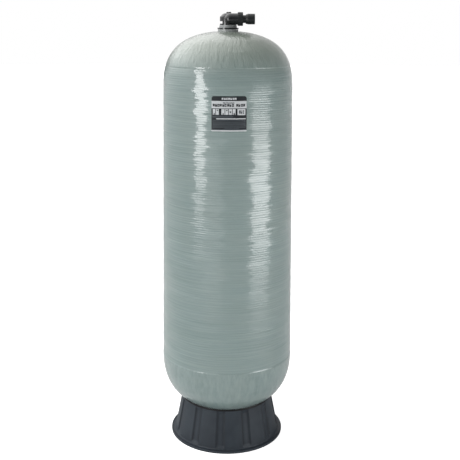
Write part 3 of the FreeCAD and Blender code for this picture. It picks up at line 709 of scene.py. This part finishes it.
def plastic_material(name, dark, light, roughness, grain, depth, coat=0.0, sheen=0.5, painted_shade=None):
    """Moulded plastic: fine grain, cloudy sheen and edges rubbed a little paler.

    The grain is a noise scale, and the depth is its relief in metres.  The painted shade, when
    given, is a function that paints shade into the colour in places.
    """
    g = Graph(bpy.data.materials.new(name))
    point = g.place()
    speckle = g.noise(point, grain, roughness=0.6)
    cloud = g.noise(point, 9.0)
    base = g.mix(g.stretch(0.3, 0.7, cloud), dark, light)
    edge = g.add("ShaderNodeNewGeometry", output="Pointiness")
    rubbed = g.stretch(0.52, 0.60, edge, 0.0, 0.5)
    base = g.mix(rubbed, base, shaded(light, 1.8, 0.008))
    # painted shade, from the function given for it
    if painted_shade:
        base = painted_shade(g, point, base)
    rough = g.math("MULTIPLY_ADD", g.swing(speckle), 0.25, roughness)
    rough = g.math("MULTIPLY_ADD", g.swing(cloud), 0.20, rough)
    return g.finish(Base_Color=base, Roughness=rough, Normal=g.bump(speckle, depth, strength=0.5),
                    Specular_IOR_Level=sheen, Coat_Weight=coat, Coat_Roughness=0.08)


def foot_painted_shade(g, point, base):
    """Painted shade beside the flutes' edges, and a painted black shadow in the seam under the
    tank.
    """
    across, along, height = g.axes(point)
    # the cosine of FLUTES times the angle peaks in the middle of every flute
    turn = g.math("SUBTRACT", g.math("ARCTAN2", along, across), FLUTE_CLOCKING)
    wave = g.math("COSINE", g.times(turn, float(FLUTES)))
    flute_edge = math.cos(FLUTES * FLUTE_HALF) + 0.08
    off = g.math("ABSOLUTE", g.math("SUBTRACT", wave, flute_edge))
    # painted shade along the flutes' edges, above the flange
    flute_painted_shade = g.times(g.stretch(0.0, 0.42, off, 0.6, 0.0), g.stretch(0.015, 0.03, height))
    base = g.mix(flute_painted_shade, base, colour(0.010, 0.013, 0.018))
    # painted shadow: black in the seam between the rim and the tank
    seam_painted_shadow = g.stretch(FOOT_TOP - 8.5 * MM, FOOT_TOP - 6.5 * MM, height)
    return g.mix(seam_painted_shadow, base, colour(0.002, 0.002, 0.003))


def rubber_material():
    """Black seal rubber with a fine matt bloom."""
    g = Graph(bpy.data.materials.new("seal_rubber"))
    bloom = g.noise(g.place(), 700.0, detail=4.0, roughness=0.7)
    black, grey = colour(0.012, 0.012, 0.013), colour(0.05, 0.05, 0.052)
    return g.finish(Base_Color=g.mix(g.stretch(0.4, 0.75, bloom), black, grey),
                    Roughness=g.stretch(0.2, 0.8, bloom, 0.45, 0.75),
                    Normal=g.bump(bloom, 0.05 * MM, strength=0.4))


def print_material(name, ink):
    """Printed sheet: ink with faint press banding and hairline scuffs."""
    g = Graph(bpy.data.materials.new(name))
    point = g.place()
    banding = g.noise(g.scaled(point, (20.0, 20.0, 900.0)), 1.0, detail=2.0)
    scuffs = g.noise(g.scaled(point, (900.0, 900.0, 60.0)), 1.0, detail=5.0, roughness=0.7)
    return g.finish(Base_Color=g.mix(g.stretch(0.35, 0.65, banding), shaded(ink, 0.8), ink),
                    Roughness=g.stretch(0.45, 0.75, scuffs, 0.40, 0.60),
                    Normal=g.bump(scuffs, 0.02 * MM, strength=0.3), Specular_IOR_Level=0.25)


# dark and light colour, roughness, grain and its depth of each plastic that keeps its CAD mesh
PLASTICS = {
    "liner_plastic": {"dark": colour(0.55, 0.57, 0.54), "light": colour(0.66, 0.67, 0.63),
                      "roughness": 0.45, "grain": 60.0, "depth": 0.3 * MM},
    "head_plastic": {"dark": colour(0.004, 0.005, 0.007), "light": colour(0.008, 0.010, 0.012),
                     "roughness": 0.20, "grain": 900.0, "depth": 0.03 * MM,
                     "coat": 0.25, "sheen": 0.35},
    "fitting_plastic": {"dark": colour(0.006, 0.008, 0.009), "light": colour(0.012, 0.015, 0.016),
                        "roughness": 0.30, "grain": 800.0, "depth": 0.06 * MM, "sheen": 0.3},
    "neck_plastic": {"dark": colour(0.30, 0.32, 0.32), "light": colour(0.36, 0.38, 0.38),
                     "roughness": 0.35, "grain": 500.0, "depth": 0.08 * MM},
    "pipe_plastic": {"dark": colour(0.70, 0.70, 0.67), "light": colour(0.78, 0.78, 0.75),
                     "roughness": 0.40, "grain": 300.0, "depth": 0.05 * MM},
    "ring_plastic": {"dark": colour(0.55, 0.55, 0.50), "light": colour(0.62, 0.62, 0.57),
                     "roughness": 0.35, "grain": 400.0, "depth": 0.04 * MM},
}
INKS = {
    "label_black": colour(0.017, 0.022, 0.026),
    "label_white": colour(0.72, 0.75, 0.77),
    "label_grey": colour(0.062, 0.074, 0.085),
}


def foot_material():
    """Slate moulded plastic, with painted shade beside the flutes and a painted shadow in the seam
    under the tank.
    """
    dark, light = colour(0.027, 0.035, 0.045), colour(0.038, 0.048, 0.060)
    return plastic_material("foot_plastic", dark, light, 0.50, 700.0, 0.1 * MM, sheen=0.22,
                            painted_shade=foot_painted_shade)


def dress_cad_nodes():
    """Give every CAD node that still shows its procedural material."""
    finishes = {name: plastic_material(name, **look) for name, look in PLASTICS.items()}
    finishes["seal_rubber"] = rubber_material()
    slot_of = {row["node"]: row["material_slot"] for row in frame["record"]["subparts"]}
    for name, node in frame["nodes"].items():
        if slot_of[name] in finishes:
            node.data.materials.clear()
            node.data.materials.append(finishes[slot_of[name]])


# ---------------------------------------------------------------- studio

# the dim studio, and broad glows on its walls: azimuth (0 is the front, positive to the right),
# elevation and spread in degrees, and strength
AMBIENT = 0.19
GLOWS = {
    "left_wall": (-100.0, 8.0, 55.0, 1.02),
    "left_front": (-50.0, 8.0, 55.0, 0.17),
    "left_back_top": (-135.0, 50.0, 45.0, 1.2),
    "left_front_top": (-45.0, 50.0, 45.0, 1.0),
    "right_back": (155.0, 5.0, 45.0, 0.45),
}
# a huge pale panel overhead and behind, seen only in mirror reflections, and the direction in
# which a corner of it is left dark
PANEL = {"azimuth": -154.4, "elevation": 35.5, "spread": 73.0, "edge": 4.0, "strength": 1.15}
DARK_CORNER = {"azimuth": 128.0, "elevation": 18.0}
# upright lights: where they stand, their height span, width and power, the shares of their height
# over which they dim towards the lower and the upper end, and whether they light more than mirrors
SOFTBOXES = {
    "left_strip": {"azimuth": -47.6, "distance": 3.0, "low": 0.1, "high": 2.85,
                   "width": 0.90, "power": 73.5, "fades": (0.42, 0.0)},
    "right_box": {"azimuth": 57.5, "distance": 2.0, "low": 0.12, "high": 1.85,
                  "width": 1.2, "power": 33.3, "fades": (0.45, 0.49)},
    "low_right_fill": {"azimuth": 55.0, "distance": 2.6, "low": 0.0, "high": 1.2,
                       "width": 1.5, "power": 15.0, "diffuse": True},
    "low_front_fill": {"azimuth": -25.0, "distance": 2.6, "low": 0.0, "high": 1.2,
                       "width": 1.5, "power": 6.0, "diffuse": True},
}
FLOOR_RINGS = (0.5, 2.0, 6.0, 40.0)
FLOOR_SEGMENTS = 96
FLOOR_GLOW = 0.80

CAMERA_HOME = Vector((0.0, -3.8895, 1.9509))
CAMERA_PITCH = math.radians(3.724)
CAMERA_ROLL = math.radians(0.226)
CAMERA_LENS = 63.71
CAMERA_SHIFTS = {"shift_x": 0.0046, "shift_y": -0.3226}
# the lens is shifted only while the camera is nearer than this to its home
HOME_REACH = 0.1


def make_floor():
    """Large round white floor.

    To the camera it glows like the backdrop, so that only a faint shadow is left round the foot.
    """
    bm = bmesh.new()
    rings = [plain_ring(bm, radius, 0.0, FLOOR_SEGMENTS) for radius in FLOOR_RINGS]
    join_rings(bm, rings)
    cap_ring(bm, rings[0], 0.0)
    floor = mesh_object("studio_floor", bm)
    g = Graph(bpy.data.materials.new("studio_floor"))
    grain = g.noise(g.place(), 3.0, detail=2.0)
    base = g.mix(g.stretch(0.3, 0.7, grain), colour(0.86, 0.86, 0.86), colour(0.88, 0.88, 0.88))
    seen = g.add("ShaderNodeLightPath", output="Is Camera Ray")
    floor.data.materials.append(g.finish(Base_Color=base, Roughness=0.7,
                                         Emission_Color=colour(1, 1, 1),
                                         Emission_Strength=g.times(seen, FLOOR_GLOW)))


def studio_direction(azimuth, elevation):
    """Unit vector from the tank; azimuth 0 is the front, positive to the right, in degrees."""
    turn = math.radians(azimuth)
    lift = math.radians(elevation)
    level = Vector((math.sin(turn), -math.cos(turn), 0)) * math.cos(lift)
    return level + Vector((0, 0, math.sin(lift)))


def dim_ends(data, fades):
    """Dim an area light towards its lower and upper end, over shares of its height."""
    g = Graph(data)
    rise = g.axes(g.add("ShaderNodeNewGeometry", output="Parametric"))[1]
    lower_fade, upper_fade = fades
    strength = g.stretch(0.0, lower_fade, rise)
    if upper_fade:
        strength = g.times(strength, g.stretch(1.0 - upper_fade, 1.0, rise, 1.0, 0.0))
    g.feed(g.tree.nodes["Emission"].inputs["Strength"], strength)


def add_softbox(name, azimuth, distance, low, high, width, power, fades=None, diffuse=False):
    """Upright light that faces the tank; it is seen only in reflections unless diffuse is set."""
    data = bpy.data.lights.new(name, "AREA")
    data.shape = "RECTANGLE"
    data.size = width
    data.size_y = high - low
    data.energy = power
    if fades:
        dim_ends(data, fades)
    light = bpy.data.objects.new(name, data)
    light.visible_diffuse = diffuse
    light.visible_camera = False
    bpy.context.scene.collection.objects.link(light)
    aim = studio_direction(azimuth, 0)
    light.location = aim * distance + Vector((0, 0, (low + high) / 2))
    light.rotation_euler = (-aim).to_track_quat("-Z", "Y").to_euler()


def panel_nodes(g, direction):
    """Strength of the panel in a direction: sharp-edged, fading low down and in one corner."""
    middle = studio_direction(PANEL["azimuth"], PANEL["elevation"])
    half_edge = PANEL["edge"] / 2
    outer = math.cos(math.radians(PANEL["spread"] + half_edge))
    inner = math.cos(math.radians(PANEL["spread"] - half_edge))
    towards = g.vector("DOT_PRODUCT", direction, middle)
    panel = g.stretch(outer, inner, towards, 0.0, PANEL["strength"])
    panel = g.times(panel, g.stretch(0.12, 0.34, g.axes(direction)[2]))
    towards_dark = g.vector("DOT_PRODUCT", direction, studio_direction(**DARK_CORNER))
    return g.times(panel, g.stretch(0.55, 0.85, towards_dark, 1.0, 0.0))


def make_world():
    """White to the camera; everything else sees the dim studio, its glows and its panel."""
    world = bpy.data.worlds.new("studio")
    bpy.context.scene.world = world
    g = Graph(world)
    direction = g.add("ShaderNodeTexCoord", output="Generated")
    total = AMBIENT
    for azimuth, elevation, spread, strength in GLOWS.values():
        towards = g.vector("DOT_PRODUCT", direction, studio_direction(azimuth, elevation))
        edge = math.cos(math.radians(spread))
        total = g.math("ADD", total, g.stretch(edge, 1.0, towards, 0.0, strength))
    path = g.tree.nodes.new("ShaderNodeLightPath").outputs
    total = g.math("MULTIPLY_ADD", panel_nodes(g, direction), path["Is Glossy Ray"], total)
    background = g.tree.nodes["Background"].inputs
    g.feed(background["Strength"], g.between(path["Is Camera Ray"], total, 1.0))
    g.feed(background["Color"], colour(1, 1, 1))


def shift_lens_at_home(data, camera):
    """Shift the lens at the camera's home only, so that it is centred wherever else it is put.

    Each driver takes the distance from home and reads the shift off a step of two keys.
    """
    home = bpy.data.objects.new("camera_home", None)
    home.location = CAMERA_HOME
    bpy.context.scene.collection.objects.link(home)
    for channel, shift in CAMERA_SHIFTS.items():
        curve = data.driver_add(channel)
        curve.driver.type = "SUM"
        distance = curve.driver.variables.new()
        distance.type = "LOC_DIFF"
        distance.targets[0].id = camera
        distance.targets[1].id = home
        for modifier in list(curve.modifiers):
            curve.modifiers.remove(modifier)
        curve.keyframe_points.clear()
        for reach, value in ((0.0, shift), (HOME_REACH, 0.0)):
            curve.keyframe_points.insert(reach, value).interpolation = "CONSTANT"


def make_camera():
    """Camera at neck height, tipped slightly down, its lens shifted so that all the tank shows."""
    data = bpy.data.cameras.new("camera")
    data.sensor_width = 36.0
    data.lens = CAMERA_LENS
    camera = bpy.data.objects.new("camera", data)
    bpy.context.scene.collection.objects.link(camera)
    bpy.context.scene.camera = camera
    camera.location = CAMERA_HOME
    tipped = Euler((math.pi / 2 - CAMERA_PITCH, 0, 0)).to_matrix()
    rolled = Euler((0, 0, CAMERA_ROLL)).to_matrix()
    camera.rotation_euler = (tipped @ rolled).to_euler()
    shift_lens_at_home(data, camera)


# ---------------------------------------------------------------- put it together


stand_in(make_winding(), "tank_shell", [fibreglass_material()])
stand_in(make_foot(), "tank_base", [foot_material()])
stand_in(make_label(), "front_label",
         [print_material(name, ink) for name, ink in INKS.items()])
dress_cad_nodes()
make_floor()
make_world()
for name, look in SOFTBOXES.items():
    add_softbox(name, **look)
make_camera()
bpy.context.scene.view_settings.view_transform = "Standard"
